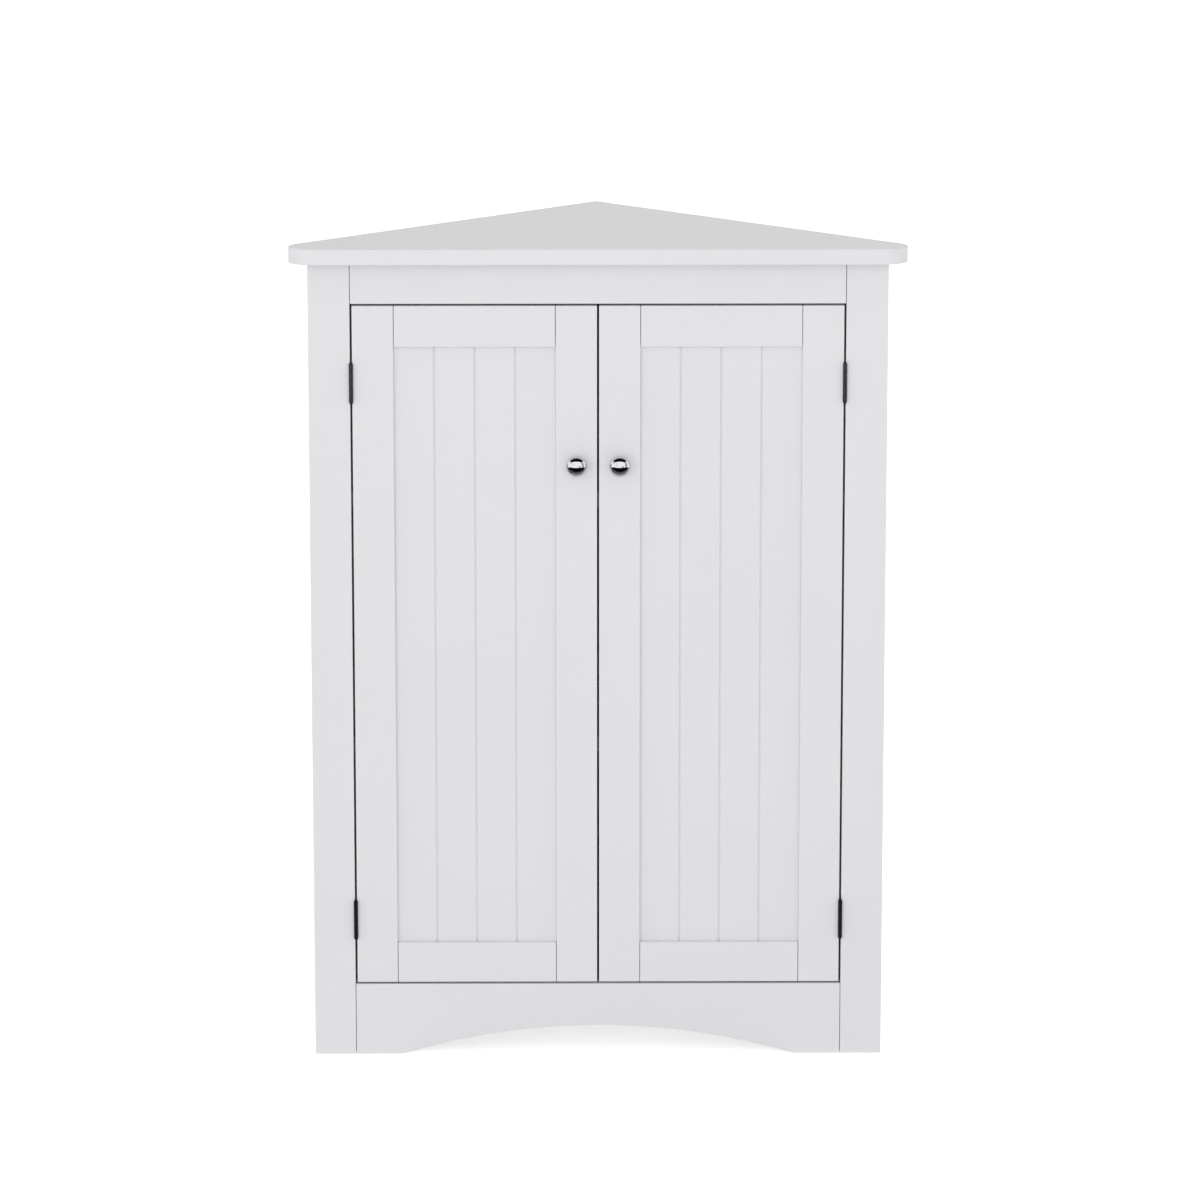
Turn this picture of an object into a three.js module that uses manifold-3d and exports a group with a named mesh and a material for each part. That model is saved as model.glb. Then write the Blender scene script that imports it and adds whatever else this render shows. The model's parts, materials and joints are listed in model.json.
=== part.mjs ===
// A triangular corner floor cupboard: a face frame with two inset beadboard doors on butt hinges,
// two side boards that meet at the back corner, a housed floor, two adjustable shelves and an
// overhanging top. Millimetres, +Z up, +X to the right, front towards -Y. The origin is on the
// ground, under the middle of the box that holds the cupboard.
import * as THREE from "three";
import { mergeVertices } from "three/addons/utils/BufferGeometryUtils.js";
import Module from "manifold-3d";

const wasm = await Module();
wasm.setup();

// Driving sizes of the carcass
const cupboardHeight = 800;
const bodyWidth = 554.3;
const topThickness = 15;
const topFrontOverhang = 25.7;
const topWallOverhang = 7.35; // from the side boards' outer faces, square to them
const topCornerRadius = 23.6;
const topEase = 0.5;
const sideThickness = 15;
const floorThickness = 15;
const shelfThickness = 15;

// Driving sizes of the face frame
const frameThickness = 15;
const frameStileWidth = 40;
const topRailHeight = 40.8;
const bottomRailHeight = 71.1;
const archRise = 28.9;
const archFootLength = 45.75; // flat foot at each end of the arch
const frameTenonLength = 10;
const frameTenonThickness = 6;
const frameTenonShoulder = 8;

// Driving sizes of the doors
const doorThickness = 15;
const doorReveal = 2; // gap round each door
const doorStileWidth = 39.5;
const doorRailHeight = 39.8;
const panelRecess = 5;
const panelThickness = 6;
const panelTongue = 9;
const plankCount = 4;
const beadWidth = 2.6;
const beadDepth = 1.5;
const knobBelowDoorTop = 153.1;
const upperHingeInset = 74.4; // from the door's top to the middle of the hinge
const lowerHingeInset = 63.6; // from the door's bottom to the middle of the hinge

// Clearances and small forms that all pieces share
const jointGap = 0.3; // between pieces that are seated on, in or against each other
const shoulderGap = 0.5; // shadow line where a rail meets a stile
const edgeEase = 0.3; // chamfer on the edges of frame and door members
const cutOverrun = 5; // how far a cutting solid runs past what it cuts
const quarterTurn = Math.PI / 2;
const eighthTurn = Math.PI / 4;
const turnSteps = 16;
const smallTurnSteps = 10; // for holes, pins and screws
const cornerSteps = 3; // for each small rounded corner

// Heights and plan lines that follow from the driving sizes
const carcassTop = cupboardHeight - topThickness;
const postHeight = carcassTop - jointGap;
const bodyHalf = bodyWidth / 2;
const openingHalf = bodyHalf - frameStileWidth;
const openingTop = postHeight - topRailHeight;
const openingBottom = bottomRailHeight;
const behindFrame = frameThickness + jointGap;
const outerLine = bodyHalf + frameThickness; // |x| + y on the outer faces of the side boards
const innerLine = outerLine - sideThickness * Math.SQRT2; // |x| + y on their inner faces
const topLine = outerLine + topWallOverhang * Math.SQRT2; // |x| + y on the top's wall edges
const topDepth = topLine + topFrontOverhang;
const topCentreY = topDepth / 2 - topFrontOverhang;
const doorBottom = openingBottom + doorReveal;
const doorTop = openingTop - doorReveal;

// Finishes
function finish(color, roughness, metalness) {
  return new THREE.MeshStandardMaterial({ color, roughness, metalness });
}
const whiteLacquer = finish(0xf0f0f2, 0.45, 0);
const chrome = finish(0xd8dadd, 0.06, 1);
const blackSteel = finish(0x2a2b2d, 0.4, 0.8);
const zincSteel = finish(0xa9adb1, 0.35, 1);
const whitePlastic = finish(0xeeeeea, 0.5, 0);

// Solids
function solidOf(geometry) {
  const bare = geometry.clone();
  bare.deleteAttribute("normal");
  bare.deleteAttribute("uv");
  const merged = mergeVertices(bare);
  return new wasm.Manifold(
    new wasm.Mesh({
      numProp: 3,
      vertProperties: merged.attributes.position.array,
      triVerts: new Uint32Array(merged.index.array),
    }),
  );
}

function geometryOf(solid) {
  const { vertProperties, triVerts } = solid.getMesh();
  const geometry = new THREE.BufferGeometry();
  geometry.setAttribute("position", new THREE.BufferAttribute(vertProperties, 3));
  geometry.setIndex(new THREE.BufferAttribute(triVerts, 1));
  geometry.computeVertexNormals();
  return geometry;
}

// One closed body: a base with other solids joined on, and then with cutters taken away.
function worked(base, joined, cutters) {
  let solid = solidOf(base);
  for (const piece of joined) solid = solid.add(solidOf(piece));
  for (const cutter of cutters) solid = solid.subtract(solidOf(cutter));
  return geometryOf(solid);
}

function piece(name, geometry, material) {
  const mesh = new THREE.Mesh(geometry, material);
  mesh.name = name;
  return mesh;
}

// Outlines and the three ways in which a board is cut from one
const uprightPlane = new THREE.Matrix4().makeBasis(
  new THREE.Vector3(1, 0, 0),
  new THREE.Vector3(0, 0, 1),
  new THREE.Vector3(0, -1, 0),
);
const crossPlane = new THREE.Matrix4().makeBasis(
  new THREE.Vector3(0, 1, 0),
  new THREE.Vector3(0, 0, 1),
  new THREE.Vector3(1, 0, 0),
);

function outline(points) {
  return new THREE.Shape(points.map(([x, y]) => new THREE.Vector2(x, y)));
}

function slab(shape, thickness, ease, curveSegments = turnSteps) {
  const geometry = new THREE.ExtrudeGeometry(shape, {
    depth: thickness - 2 * ease,
    bevelEnabled: ease > 0,
    bevelThickness: ease,
    bevelSize: ease,
    bevelOffset: -ease,
    bevelSegments: 1,
    curveSegments,
  });
  return geometry.translate(0, 0, ease);
}

// A lying board: outline in x and y, lower face at the given height.
function lying(shape, thickness, height, ease, curveSegments) {
  return slab(shape, thickness, ease, curveSegments).translate(0, 0, height);
}

// An upright board that faces the front: outline in x and z, front face at y = front.
function facing(shape, thickness, front, ease, curveSegments) {
  const geometry = slab(shape, thickness, ease, curveSegments).applyMatrix4(uprightPlane);
  return geometry.translate(0, front + thickness, 0);
}

// A bar along x from x = start: outline of its section in y and z.
function barAlongX(section, length, start) {
  return slab(section, length, 0).applyMatrix4(crossPlane).translate(start, 0, 0);
}

// A block between two corners, given as [x, y, z].
function block(low, high) {
  const [width, depth, height] = high.map((value, i) => value - low[i]);
  const geometry = new THREE.BoxGeometry(width, depth, height);
  return geometry.translate(low[0] + width / 2, low[1] + depth / 2, low[2] + height / 2);
}

// The same block on either side: x is measured outwards from the middle of the cupboard.
function sideBlock(side, low, high) {
  const xs = [side * low[0], side * high[0]].sort((a, b) => a - b);
  return block([xs[0], low[1], low[2]], [xs[1], high[1], high[2]]);
}

function rectangle(left, bottom, right, top) {
  return outline([
    [left, bottom],
    [right, bottom],
    [right, top],
    [left, top],
  ]);
}

// A turned solid about the y axis, from [radius, y] points that start and end on the axis.
function turned(profile, steps = smallTurnSteps) {
  return new THREE.LatheGeometry(
    profile.map(([radius, y]) => new THREE.Vector2(radius, y)),
    steps,
  );
}

// A drill or plain pin about the y axis, from y = start to y = end.
function rod(radius, start, end, steps = smallTurnSteps) {
  return turned(
    [
      [0, start],
      [radius, start],
      [radius, end],
      [0, end],
    ],
    steps,
  );
}

// Top: a right-angled triangle in plan with two rounded front corners
function topOutline() {
  const centreX = topDepth - topCornerRadius / Math.tan(eighthTurn / 2);
  const centreY = topCornerRadius - topFrontOverhang;
  const shape = new THREE.Shape();
  shape.absarc(centreX, centreY, topCornerRadius, -quarterTurn, eighthTurn, false);
  shape.lineTo(0, topLine);
  shape.absarc(-centreX, centreY, topCornerRadius, 3 * eighthTurn, 3 * quarterTurn, false);
  return shape;
}

// Cam fittings that draw the top down on the side boards
const camRadius = 7.5;
const camSkin = 2.7; // board left behind the cam's pocket
const camBelowTop = 34; // from the top edge of the side board to the cam's centre
const camFrontInset = 45;
const camBackInset = 70;
const camSlotWidth = 1.4;
const camSlotLength = 8;
const camSlotDepth = 2;
const boltThreadRadius = 2.5;
const boltThreadLength = 9;
const boltShankRadius = 3.2;
const boltNeckRadius = 1.8;
const boltNeckLength = 6.5;
const boltHeadRadius = 3;
const boltHeadLength = 3;
const boltBoreRadius = 4;
const drillGap = 0.3; // round a pin or bolt in its hole
const camDepth = sideThickness - camSkin - jointGap;

// Shelf supports and the holes that they fit
const supportRadius = 2.5;
const supportInHole = 8;
const supportReach = 9;
const supportPadWidth = 8;
const supportPadThickness = 1.6;
const supportCollarRadius = 3.6;
const supportCollarThickness = 1.2;
const supportHoleSpare = 1.5; // hole beyond the end of the pin
const supportPitch = 32;
const supportFrontInset = 60;
const supportBackInset = 70;
const positionsPerShelf = 3;
const shelfSideClearance = 1.5;
const shelfSetback = 8;
const shelfTipFlat = 8;
const shelfBackFlat = 12;
const housingDepth = 5; // groove in the side boards that holds the floor

const innerFaceLength = (innerLine - behindFrame) * Math.SQRT2;

// A place on a side board: measured along its inner face from the front, up, and into the board.
function onSideBoard(side, along, height, depth) {
  const x = innerLine - behindFrame + (depth - along) / Math.SQRT2;
  const y = behindFrame + (depth + along) / Math.SQRT2;
  return new THREE.Vector3(side * x, y, height);
}

// Turns a solid about the y axis so that its +y end points into the side board.
function intoSideBoard(geometry, side, place) {
  return geometry.rotateZ(-side * eighthTurn).translate(place.x, place.y, place.z);
}

const supportColumns = [supportFrontInset, innerFaceLength - supportBackInset];
const camPlaces = [camFrontInset, innerFaceLength - camBackInset];

// The shelves part the inside into compartments of one height.
const shelfNames = ["lower_shelf", "upper_shelf"];
const insideHeight = carcassTop - openingBottom - shelfNames.length * shelfThickness;
const compartmentHeight = insideHeight / (shelfNames.length + 1);
const shelves = shelfNames.map((name, i) => ({
  name,
  underside: openingBottom + compartmentHeight + i * (compartmentHeight + shelfThickness),
}));

function supportHeight({ underside }) {
  return underside - jointGap - supportRadius;
}

// A strip of plan between two lines of |x| + y, from y = front back to a line of the other side.
function wallStrip(side, inner, outer, front, backLine) {
  const backEnd = (line) => [(side * (line - backLine)) / 2, (line + backLine) / 2];
  return outline([
    [side * (outer - front), front],
    [side * (inner - front), front],
    backEnd(inner),
    backEnd(outer),
  ]);
}

// The left board runs through to the outer face of the right one, which butts against it.
function sideBoardOutline(side) {
  const backLine = side < 0 ? outerLine : innerLine - jointGap * Math.SQRT2;
  return wallStrip(side, innerLine, outerLine, behindFrame, backLine);
}

function sideBoard(side) {
  const cutters = [];
  for (const shelf of shelves) {
    for (const along of supportColumns) {
      for (let i = 0; i < positionsPerShelf; i += 1) {
        const step = i - (positionsPerShelf - 1) / 2;
        const place = onSideBoard(side, along, supportHeight(shelf) + step * supportPitch, 0);
        const hole = rod(supportRadius + drillGap, -cutOverrun, supportInHole + supportHoleSpare);
        cutters.push(intoSideBoard(hole, side, place));
      }
    }
  }
  for (const along of camPlaces) {
    const pocket = rod(camRadius + drillGap, -cutOverrun, camDepth + jointGap, turnSteps);
    cutters.push(intoSideBoard(pocket, side, onSideBoard(side, along, postHeight - camBelowTop, 0)));
    const place = onSideBoard(side, along, postHeight, sideThickness / 2);
    const bore = rod(boltBoreRadius, -camBelowTop, cutOverrun).rotateX(quarterTurn);
    cutters.push(bore.translate(place.x, place.y, place.z));
  }
  const housingLine = innerLine + housingDepth * Math.SQRT2;
  const housing = wallStrip(side, innerLine - cutOverrun, housingLine, 0, housingLine);
  const housingHeight = floorThickness + 2 * jointGap;
  const housingBottom = openingBottom - floorThickness - jointGap;
  cutters.push(lying(housing, housingHeight, housingBottom, 0));
  return worked(lying(sideBoardOutline(side), postHeight, 0, 0), [], cutters);
}

// The floor fills the triangle between the side boards and sits in their grooves.
function floorOutline() {
  const line = innerLine + (housingDepth - jointGap) * Math.SQRT2;
  const backClip = housingDepth + jointGap;
  return outline([
    [behindFrame - line, behindFrame],
    [line - behindFrame, behindFrame],
    [backClip, line - backClip],
    [-backClip, line - backClip],
  ]);
}

function shelfOutline() {
  const line = innerLine - shelfSideClearance * Math.SQRT2;
  const front = Math.max(frameThickness, doorThickness) + shelfSetback;
  const tip = line - front - shelfTipFlat;
  return outline([
    [-tip, front],
    [tip, front],
    [tip, front + shelfTipFlat],
    [shelfBackFlat, line - shelfBackFlat],
    [-shelfBackFlat, line - shelfBackFlat],
    [-tip, front + shelfTipFlat],
  ]);
}

// A flat shelf support: a pin with a collar, and a pad that carries the shelf.
function shelfSupport() {
  const pin = turned([
    [0, -supportReach],
    [supportRadius, -supportReach],
    [supportRadius, -supportCollarThickness],
    [supportCollarRadius, -supportCollarThickness],
    [supportCollarRadius, -jointGap],
    [supportRadius, -jointGap],
    [supportRadius, supportInHole],
    [0, supportInHole],
  ]);
  const pad = block(
    [-supportPadWidth / 2, -supportReach, supportRadius - supportPadThickness],
    [supportPadWidth / 2, -supportCollarThickness, supportRadius],
  );
  return worked(pin, [pad], []);
}

// A cam: a disc with a bore for the bolt's head and a cross slot for the screwdriver.
function cam() {
  const disc = rod(camRadius, 0, camDepth, turnSteps);
  const middle = sideThickness / 2;
  const bore = rod(boltHeadRadius + drillGap, -boltHeadLength, camRadius + cutOverrun);
  bore.rotateX(quarterTurn).translate(0, middle, 0);
  const half = [camSlotLength / 2, camSlotWidth / 2];
  const level = block([-half[0], -cutOverrun, -half[1]], [half[0], camSlotDepth, half[1]]);
  const upright = block([-half[1], -cutOverrun, -half[0]], [half[1], camSlotDepth, half[0]]);
  return worked(disc, [], [bore, level, upright]);
}

// A bolt along y: its thread is in the top, and its head hangs in the cam below.
function camBolt() {
  const headEnd = -camBelowTop - boltHeadLength / 2;
  const headTop = headEnd + boltHeadLength;
  return turned([
    [0, headEnd],
    [boltHeadRadius, headEnd],
    [boltHeadRadius, headTop],
    [boltNeckRadius, headTop],
    [boltNeckRadius, headTop + boltNeckLength],
    [boltShankRadius, headTop + boltNeckLength],
    [boltShankRadius, 0],
    [boltThreadRadius, 0],
    [boltThreadRadius, boltThreadLength],
    [0, boltThreadLength],
  ]);
}

function topBoard() {
  const board = lying(topOutline(), topThickness, carcassTop, topEase, turnSteps / 2);
  const cutters = [];
  for (const side of [-1, 1]) {
    for (const along of camPlaces) {
      const place = onSideBoard(side, along, carcassTop, sideThickness / 2);
      const hole = rod(boltThreadRadius + drillGap, -cutOverrun, boltThreadLength + jointGap);
      cutters.push(hole.rotateX(quarterTurn).translate(place.x, place.y, place.z));
    }
  }
  return worked(board, [], cutters);
}

// Face frame: two stiles from the ground to the top, with the rails tenoned between them
const hingeLength = 38; // without the pin's heads
const leafThickness = 1;
const leafReach = 12; // how far a leaf runs back from the front face
const barrelRadius = 2;
const barrelStandoff = 0.1; // from the barrel to the front face
const hingePinRadius = 1;
const pinRunningGap = 0.1;
const knuckleCount = 5;
const knuckleGap = 0.25;
const leavesGap = 0.4; // between the two leaves of a closed hinge
const pinHeadRadius = 1.5;
const pinHeadHeight = 0.9;
const pinHeadRimShare = 0.35; // straight part of the head, the rest is domed
const pinHeadCrownShare = 0.5;
const leafHoleRadius = 1.3;
const leafSinkRadius = 2.4;
const leafHoleInset = 8.5; // from the ends of the leaf
const leafSinkShare = 0.8; // how much of the leaf's thickness the countersink takes
const barrelSteps = 16;
const hingeX = openingHalf - doorReveal / 2;
const hingeY = -barrelRadius - barrelStandoff;
const hingeCentres = { upper: doorTop - upperHingeInset, lower: doorBottom + lowerHingeInset };
const leafSink = leavesGap / 2 + leafThickness - doorReveal / 2; // how deep a leaf lies in the wood

// The shallow recess for a leaf, cut into an edge that lies at x = edge on that side.
function leafRecess(side, edge, into, centre) {
  const bottom = centre - hingeLength / 2 - jointGap;
  const back = leafReach + jointGap;
  const deep = edge + into * (leafSink + jointGap);
  const open = edge - into * cutOverrun;
  return sideBlock(side, [deep, -cutOverrun, bottom], [open, back, bottom + hingeLength + 2 * jointGap]);
}

function tenonSpan(bottom, top) {
  return { bottom: bottom + frameTenonShoulder, top: top - frameTenonShoulder };
}

const tenonFront = (frameThickness - frameTenonThickness) / 2;
const railTenons = [tenonSpan(0, bottomRailHeight), tenonSpan(openingTop, postHeight)];

function frameStile(side) {
  const shape = rectangle(
    side < 0 ? -bodyHalf : openingHalf,
    0,
    side < 0 ? -openingHalf : bodyHalf,
    postHeight,
  );
  const cutters = railTenons.map(({ bottom, top }) =>
    sideBlock(
      side,
      [openingHalf - cutOverrun, tenonFront - jointGap, bottom - jointGap],
      [openingHalf + frameTenonLength, frameThickness - tenonFront + jointGap, top + jointGap],
    ),
  );
  for (const centre of Object.values(hingeCentres)) {
    cutters.push(leafRecess(side, openingHalf, 1, centre));
  }
  return worked(facing(shape, frameThickness, 0, edgeEase), [], cutters);
}

function railTenon(side, { bottom, top }) {
  return sideBlock(
    side,
    [openingHalf - cutOverrun, tenonFront, bottom],
    [openingHalf + frameTenonLength - jointGap, frameThickness - tenonFront, top],
  );
}

const railHalf = openingHalf - shoulderGap;

function topRail() {
  const board = facing(rectangle(-railHalf, openingTop, railHalf, postHeight), frameThickness, 0, edgeEase);
  const span = railTenons[1];
  return worked(board, [railTenon(-1, span), railTenon(1, span)], []);
}

// The bottom rail is a shallow arch: one circular arc between two feet.
function bottomRail() {
  const archHalf = railHalf - archFootLength;
  const radius = (archHalf * archHalf + archRise * archRise) / (2 * archRise);
  const centreZ = archRise - radius;
  const startAngle = Math.atan2(-centreZ, archHalf);
  const shape = new THREE.Shape();
  shape.moveTo(-railHalf, bottomRailHeight);
  shape.lineTo(-railHalf, 0);
  shape.absarc(0, centreZ, radius, Math.PI - startAngle, startAngle, true);
  shape.lineTo(railHalf, 0);
  shape.lineTo(railHalf, bottomRailHeight);
  const board = facing(shape, frameThickness, 0, edgeEase);
  const span = railTenons[0];
  return worked(board, [railTenon(-1, span), railTenon(1, span)], []);
}

// Doors: grooved stiles and rails round a beadboard panel. x is measured outwards from the middle.
const doorLock = doorReveal / 2;
const doorHingeEdge = openingHalf - doorReveal;
const lockStileInner = doorLock + doorStileWidth;
const hingeStileInner = doorHingeEdge - doorStileWidth;
const grooveFront = panelRecess - jointGap;
const grooveBack = panelRecess + panelThickness + jointGap;
const grooveDepth = panelTongue + jointGap;

// Section of a grooved member, as points across it from the door's edge, and back from the front.
function groovedSection(outer, inner) {
  const inward = Math.sign(inner - outer);
  const ease = edgeEase * inward;
  const grooved = inner - grooveDepth * inward;
  return [
    [outer, edgeEase],
    [outer + ease, 0],
    [inner - ease, 0],
    [inner, edgeEase],
    [inner, grooveFront],
    [grooved, grooveFront],
    [grooved, grooveBack],
    [inner, grooveBack],
    [inner, doorThickness - edgeEase],
    [inner - ease, doorThickness],
    [outer + ease, doorThickness],
    [outer, doorThickness - edgeEase],
  ];
}

const knobScrewRadius = 2;
const lockStileMiddle = doorLock + doorStileWidth / 2;
const knobHeight = doorTop - knobBelowDoorTop;

function doorStile(side, outer, inner, cutters) {
  const section = groovedSection(outer, inner).map(([x, y]) => [side * x, y]);
  return worked(lying(outline(section), doorTop - doorBottom, doorBottom, 0), [], cutters);
}

function hingeStile(side) {
  const recesses = Object.values(hingeCentres).map((centre) => leafRecess(side, doorHingeEdge, -1, centre));
  return doorStile(side, doorHingeEdge, hingeStileInner, recesses);
}

function lockStile(side) {
  const hole = rod(knobScrewRadius + drillGap, -cutOverrun, doorThickness + cutOverrun);
  return doorStile(side, doorLock, lockStileInner, [hole.translate(side * lockStileMiddle, 0, knobHeight)]);
}

// A rail between the stiles, with tongues that fill their grooves beyond the panel's corner.
function doorRail(side, outer, inner) {
  const start = lockStileInner + shoulderGap;
  const end = hingeStileInner - shoulderGap;
  const section = groovedSection(outer, inner).map(([z, y]) => [y, z]);
  const bar = barAlongX(outline(section), end - start, side < 0 ? -end : start);
  const inward = Math.sign(inner - outer);
  const low = Math.min(outer, inner - grooveDepth * inward);
  const high = Math.max(outer, inner - grooveDepth * inward);
  const front = panelRecess;
  const back = panelRecess + panelThickness;
  const reach = panelTongue;
  const tongue = sideBlock(
    side,
    [lockStileInner - reach, front, low],
    [hingeStileInner + reach, back, high],
  );
  return worked(bar, [tongue], []);
}

// The panel is one board, moulded as planks by V grooves that run its whole height.
function beadPanel(side) {
  const plank = (hingeStileInner - lockStileInner) / plankCount;
  const back = panelRecess + panelThickness;
  const section = [[lockStileInner - panelTongue, panelRecess]];
  for (let i = 1; i < plankCount; i += 1) {
    const joint = lockStileInner + i * plank;
    section.push([joint - beadWidth / 2, panelRecess]);
    section.push([joint, panelRecess + beadDepth]);
    section.push([joint + beadWidth / 2, panelRecess]);
  }
  section.push([hingeStileInner + panelTongue, panelRecess]);
  section.push([hingeStileInner + panelTongue, back]);
  section.push([lockStileInner - panelTongue, back]);
  const bottom = doorBottom + doorRailHeight - panelTongue;
  const top = doorTop - doorRailHeight + panelTongue;
  return lying(outline(section.map(([x, y]) => [side * x, y])), top - bottom, bottom, 0);
}

// Knob: a chromed flattened ball on a short flared neck, with a blind bore for its screw
const knobHeadRadius = 9.95;
const knobHeadHalfDepth = 6;
const knobProjection = 21;
const knobNeckRadius = 4.2;
const knobFootRadius = 5.2;
const knobFootThickness = 1.2;
const knobBoreDepth = 12;
const knobProfileSteps = 12;
const knobTurnSteps = 32;
const knobScrewHeadRadius = 4;
const knobScrewHeadHeight = 2.4;
const knobScrewCrown = 0.7;
const knobScrewSlotWidth = 1;
const knobScrewSlotDepth = 1.2;

// The knob stands along +y here and is turned to face the front when it is placed.
function knob() {
  const centre = knobProjection - knobHeadHalfDepth;
  const foot = jointGap;
  const boreRadius = knobScrewRadius + drillGap;
  const neckAngle = Math.asin(knobNeckRadius / knobHeadRadius);
  const profile = [
    [0, foot + knobBoreDepth],
    [boreRadius, foot + knobBoreDepth],
    [boreRadius, foot],
    [knobFootRadius, foot],
    [knobFootRadius, foot + knobFootThickness / 2],
    [knobNeckRadius, foot + knobFootThickness],
  ];
  for (let i = 0; i <= knobProfileSteps; i += 1) {
    const angle = neckAngle + ((Math.PI - neckAngle) * i) / knobProfileSteps;
    const radius = i === knobProfileSteps ? 0 : knobHeadRadius * Math.sin(angle);
    profile.push([radius, centre - knobHeadHalfDepth * Math.cos(angle)]);
  }
  return turned(profile, knobTurnSteps);
}

// The screw stands along +y: its head is behind the door, and its shank runs to the knob.
function knobScrew() {
  const shankEnd = doorThickness + knobBoreDepth - jointGap;
  const headTop = -jointGap;
  const headBottom = headTop - knobScrewHeadHeight;
  const body = turned([
    [0, headBottom],
    [knobScrewHeadRadius - knobScrewCrown, headBottom],
    [knobScrewHeadRadius, headBottom + knobScrewCrown],
    [knobScrewHeadRadius, headTop],
    [knobScrewRadius, headTop],
    [knobScrewRadius, shankEnd],
    [0, shankEnd],
  ]);
  const half = knobScrewSlotWidth / 2;
  const arm = knobScrewHeadRadius - knobScrewCrown;
  const deep = headBottom + knobScrewSlotDepth;
  const level = block([-arm, headBottom - cutOverrun, -half], [arm, deep, half]);
  const upright = block([-half, headBottom - cutOverrun, -arm], [half, deep, arm]);
  return worked(body, [], [level, upright]);
}

// Butt hinge: the frame leaf has the odd knuckles, the door leaf the even ones, and a headed pin
// runs through all of them. Each is modelled about the hinge axis, from the hinge's lower end.
const knucklePitch = hingeLength / knuckleCount;

function barrel(radius, bottom, top) {
  return rod(radius, bottom, top, barrelSteps).rotateX(quarterTurn);
}

// Outwards is +1 for the frame leaf and -1 for the door leaf.
function hingeLeaf(side, outwards) {
  const inner = (outwards * leavesGap) / 2;
  const outer = inner + outwards * leafThickness;
  const reach = leafReach - hingeY;
  const plate = sideBlock(side, [inner, 0, 0], [outer, reach, hingeLength]);
  const ownKnuckles = [];
  const cutters = [barrel(hingePinRadius + pinRunningGap, -cutOverrun, hingeLength + cutOverrun)];
  for (let i = 0; i < knuckleCount; i += 1) {
    const bottom = i * knucklePitch;
    const isOwn = (i % 2 === 0) === outwards > 0;
    const below = i === 0 ? 0 : knuckleGap / 2;
    const above = i === knuckleCount - 1 ? 0 : knuckleGap / 2;
    if (isOwn) {
      ownKnuckles.push(barrel(barrelRadius, bottom + below, bottom + knucklePitch - above));
    } else {
      const low = i === 0 ? -cutOverrun : bottom - knuckleGap / 2;
      const top = bottom + knucklePitch;
      const high = i === knuckleCount - 1 ? hingeLength + cutOverrun : top + knuckleGap / 2;
      cutters.push(barrel(barrelRadius + knuckleGap, low, high));
    }
  }
  for (const height of [leafHoleInset, hingeLength - leafHoleInset]) {
    // A countersunk hole: it opens towards the other leaf.
    const tool = turned([
      [0, -cutOverrun],
      [leafSinkRadius, -cutOverrun],
      [leafSinkRadius, 0],
      [leafHoleRadius, leafThickness * leafSinkShare],
      [leafHoleRadius, leafThickness + cutOverrun],
      [0, leafThickness + cutOverrun],
    ]);
    tool.rotateZ(-side * outwards * quarterTurn);
    cutters.push(tool.translate(side * inner, leafReach / 2 - hingeY, height));
  }
  return worked(plate, ownKnuckles, cutters);
}

function hingePin() {
  const middle = hingeLength / 2;
  const shank = middle + knuckleGap;
  const rim = shank + pinHeadHeight * pinHeadRimShare;
  const end = shank + pinHeadHeight;
  const upperHalf = [
    [hingePinRadius, shank],
    [pinHeadRadius, shank],
    [pinHeadRadius, rim],
    [pinHeadRadius * pinHeadCrownShare, end],
    [0, end],
  ];
  const lowerHalf = upperHalf.map(([radius, y]) => [radius, -y]).reverse();
  return turned([...lowerHalf, ...upperHalf], barrelSteps).rotateX(quarterTurn).translate(0, 0, middle);
}

// Magnetic catch: a plastic shell with two ears on the floor, and a steel strike on the door
const catchLength = 37;
const catchBoxLength = 20;
const catchDepth = 14;
const catchHeight = 12;
const earThickness = 2.6;
const earSlotWidth = 3.4;
const earSlotLength = 6;
const catchEase = 0.4;
const magnetRecess = 1;
const poleThickness = 1.5;
const poleHeight = 8;
const strikeLength = 28;
const strikeHeight = 8;
const strikeThickness = 1;
const strikeHoleRadius = 1.7;
const strikeCornerRadius = 2;
const catchCornerRadius = 2.5;

const strikeBack = doorThickness + jointGap + strikeThickness;
const catchFront = strikeBack + jointGap;
const catchBase = openingBottom + jointGap;

function roundedRectangle(width, height, radius) {
  const x = width / 2 - radius;
  const y = height / 2 - radius;
  const shape = new THREE.Shape();
  shape.absarc(x, -y, radius, -quarterTurn, 0, false);
  shape.absarc(x, y, radius, 0, quarterTurn, false);
  shape.absarc(-x, y, radius, quarterTurn, 2 * quarterTurn, false);
  shape.absarc(-x, -y, radius, 2 * quarterTurn, 3 * quarterTurn, false);
  return shape;
}

function magneticCatch() {
  const base = roundedRectangle(catchLength, catchDepth, catchCornerRadius);
  const ears = lying(base, earThickness, 0, catchEase, cornerSteps);
  const box = lying(
    rectangle(-catchBoxLength / 2, -catchDepth / 2, catchBoxLength / 2, catchDepth / 2),
    catchHeight,
    0,
    catchEase,
  );
  const earMiddle = (catchLength + catchBoxLength) / 4;
  const slot = roundedRectangle(earSlotWidth, earSlotLength, earSlotWidth / 2);
  const cutters = [-1, 1].map((end) => {
    const cutter = lying(slot, catchHeight, -cutOverrun, 0, cornerSteps);
    return cutter.translate(end * earMiddle, 0, 0);
  });
  // The magnet lies between two poles, set back a little from them.
  const poleSpan = catchBoxLength / 2 - poleThickness;
  const poleBottom = (catchHeight - poleHeight) / 2;
  const front = -catchDepth / 2;
  cutters.push(
    block(
      [-poleSpan, front - cutOverrun, poleBottom + poleThickness],
      [poleSpan, front + magnetRecess, poleBottom + poleHeight - poleThickness],
    ),
  );
  return worked(ears, [box], cutters);
}

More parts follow.
